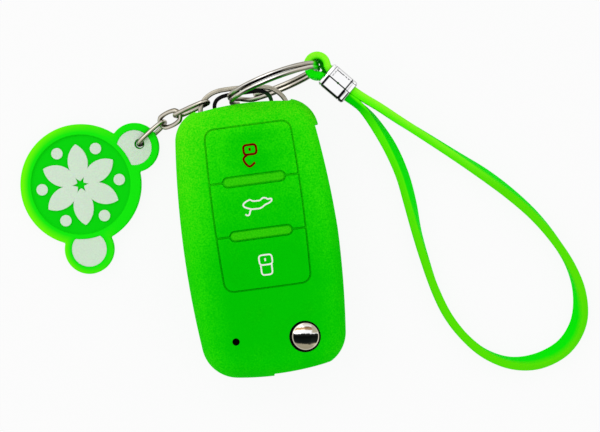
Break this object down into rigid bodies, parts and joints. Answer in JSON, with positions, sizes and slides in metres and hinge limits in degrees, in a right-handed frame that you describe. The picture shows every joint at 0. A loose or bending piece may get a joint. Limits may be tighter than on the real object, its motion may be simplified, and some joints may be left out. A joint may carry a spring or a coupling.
{
  "type": "silicone cover on a flip key",
  "caption": "Bright green silicone cover fitted on a folding remote key with button pads, release button, split ring, bear-shaped tag on a chain and a wrist strap.",
  "frame": {"origin": "centre of the cover's flat back, under the middle of the key", "axes": "X across the key towards its blade side, Y along the key towards the ring end, Z out of the button face"},
  "size_m": [0.1527, 0.0952, 0.0271],
  "materials": {
    "silicone": "matt translucent green silicone",
    "case_plastic": "fine satin black",
    "gloss_plastic": "gloss black",
    "key_rubber": "matt black",
    "circuit": "satin green",
    "steel": "satin steel",
    "nickel": "satin nickel",
    "chrome": "polished chrome",
    "brass": "satin brass",
    "led_window": "gloss dark red",
    "tag_rubber": "matt light green soft rubber",
    "tag_white": "matt white soft rubber",
    "strap_rubber": "satin green silicone"
  },
  "bodies": {
    "key": {"cover_shell": "silicone", "upper_case": "case_plastic", "lower_case": "case_plastic", "case_eyelet": "gloss_plastic", "key_bail": "nickel", "circuit_board": "circuit", "tact_switches": "steel", "status_led": "led_window", "battery": "steel", "battery_clip": "brass", "transponder": "case_plastic", "pivot_post": "brass", "flip_spring": "steel"},
    "blade_arm": {"blade_carrier": "case_plastic", "blade": "steel", "blade_pin": "steel"},
    "release": {"release_button": "chrome"},
    "unlock_button": {"unlock_pad": "silicone", "unlock_key": "key_rubber"},
    "boot_button": {"boot_pad": "silicone", "boot_key": "key_rubber"},
    "lock_button": {"lock_pad": "silicone", "lock_key": "key_rubber"},
    "ring": {"split_ring": "nickel"},
    "strap": {"strap_eye": "strap_rubber", "strap_clamp": "chrome", "strap_loop": "strap_rubber"},
    "link_3": {"chain_link_3": "nickel"},
    "link_2": {"chain_link_2": "nickel"},
    "link_1": {"chain_link_1": "nickel"},
    "tag": {"tag_body": "tag_rubber", "tag_inlay": "tag_white"}
  },
  "joints": [
    {"name": "blade_flip", "type": "hinge", "parent": "key", "child": "blade_arm", "pos_m": [0.0086, -0.0284, 0.0091], "axis": [0, 0, 1], "range_deg": [-180, 0]},
    {"name": "release_press", "type": "slide", "parent": "key", "child": "release", "axis": [0, 0, -1], "range_m": [0, 0.002], "stiffness_N_per_m": 300, "deforming": ["flip_spring"]},
    {"name": "unlock_press", "type": "slide", "parent": "key", "child": "unlock_button", "axis": [0, 0, -1], "range_m": [0, 0.0005], "stiffness_N_per_m": 300},
    {"name": "boot_press", "type": "slide", "parent": "key", "child": "boot_button", "axis": [0, 0, -1], "range_m": [0, 0.0005], "stiffness_N_per_m": 300},
    {"name": "lock_press", "type": "slide", "parent": "key", "child": "lock_button", "axis": [0, 0, -1], "range_m": [0, 0.0005], "stiffness_N_per_m": 300},
    {"name": "ring_swing", "type": "hinge", "parent": "key", "child": "ring", "pos_m": [-0.00232, 0.03863, 0.0091], "axis": [0, 0, 1], "range_deg": [-3, 10]},
    {"name": "strap_swing", "type": "hinge", "parent": "ring", "child": "strap", "pos_m": [0.02184, 0.04496, 0.0136], "axis": [0, 0, 1], "range_deg": [-15, 40]},
    {"name": "link_3_swing", "type": "hinge", "parent": "key", "child": "link_3", "pos_m": [-0.00968, 0.03943, 0.01], "axis": [0, 0, 1], "range_deg": [-15, 1]},
    {"name": "link_2_swing", "type": "hinge", "parent": "link_3", "child": "link_2", "pos_m": [-0.01901, 0.03675, 0.00575], "axis": [0, 0, 1], "range_deg": [-20, 1]},
    {"name": "link_1_swing", "type": "hinge", "parent": "link_2", "child": "link_1", "pos_m": [-0.02236, 0.03566, 0.00369], "axis": [0, 0, 1], "range_deg": [-20, 4]},
    {"name": "tag_swing", "type": "hinge", "parent": "link_1", "child": "tag", "pos_m": [-0.03002, 0.0305, 0.00327], "axis": [0, 0, 1], "range_deg": [-40, 6]}
  ]
}
